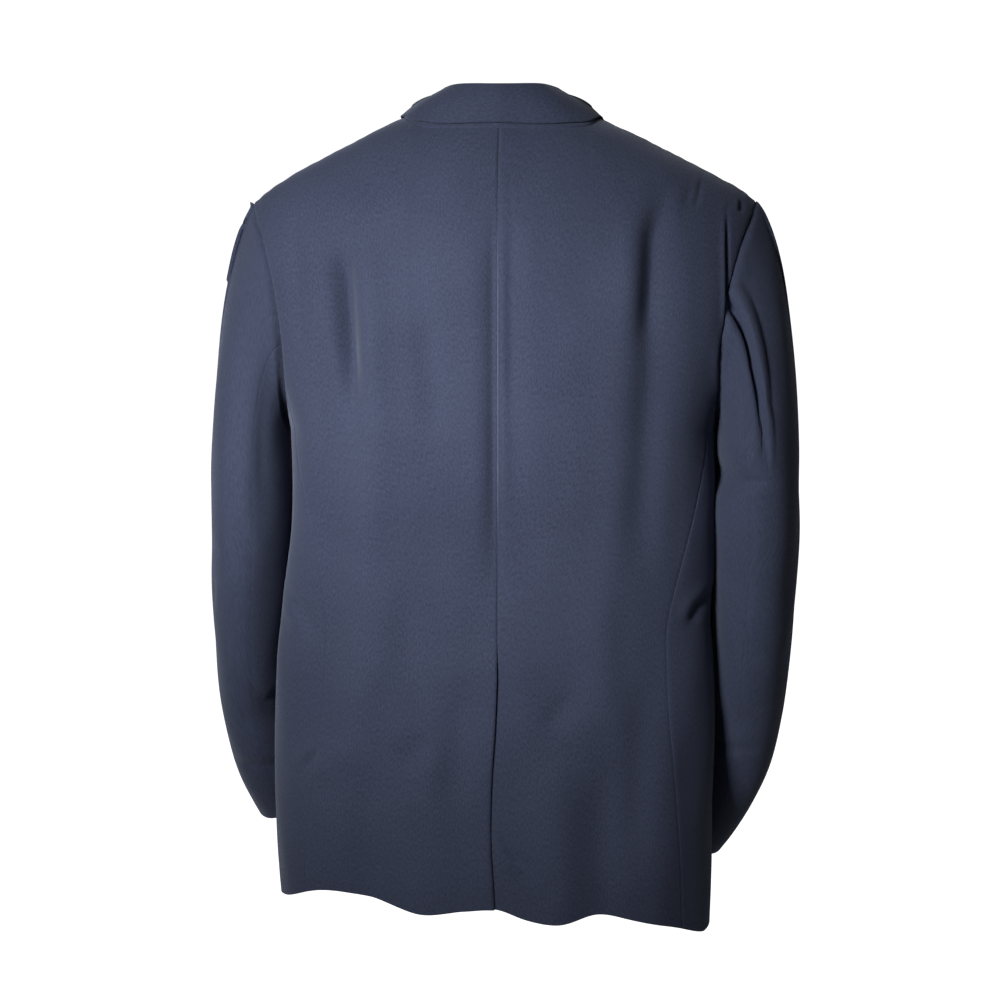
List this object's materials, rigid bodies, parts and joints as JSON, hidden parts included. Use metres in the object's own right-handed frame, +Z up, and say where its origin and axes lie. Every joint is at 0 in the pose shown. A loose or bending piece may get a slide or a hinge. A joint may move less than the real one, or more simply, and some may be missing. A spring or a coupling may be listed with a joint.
{
  "type": "blazer",
  "caption": "Tailored single-breasted blazer in plain wool cloth, hollow as if worn, with a rolled collar and lapels, two-piece sleeves and an open centre back vent.",
  "frame": {"origin": "middle of the neck, at the height of the seam between the collar and the back, on the line of the shoulder seams", "axes": "+Z up, -Y to the front of the wearer, +X to the wearer's left"},
  "size_m": [0.5995, 0.2892, 0.8482],
  "materials": {
    "suiting": "fine smooth worsted wool with a soft sheen, dark navy blue",
    "collar_cloth": "the same navy worsted, pressed over a stand",
    "button": "satin near-black navy, four holes, sewn with navy thread"
  },
  "bodies": {
    "root": {"back_left": "suiting", "side_left": "suiting", "front_left": "suiting", "top_sleeve_left": "suiting", "under_sleeve_left": "suiting", "lapel_left": "suiting", "pocket_flap_left": "suiting", "back_right": "suiting", "side_right": "suiting", "front_right": "suiting", "top_sleeve_right": "suiting", "under_sleeve_right": "suiting", "lapel_right": "suiting", "pocket_flap_right": "suiting", "collar": "collar_cloth", "button_upper": "button", "button_lower": "button"}
  },
  "joints": []
}
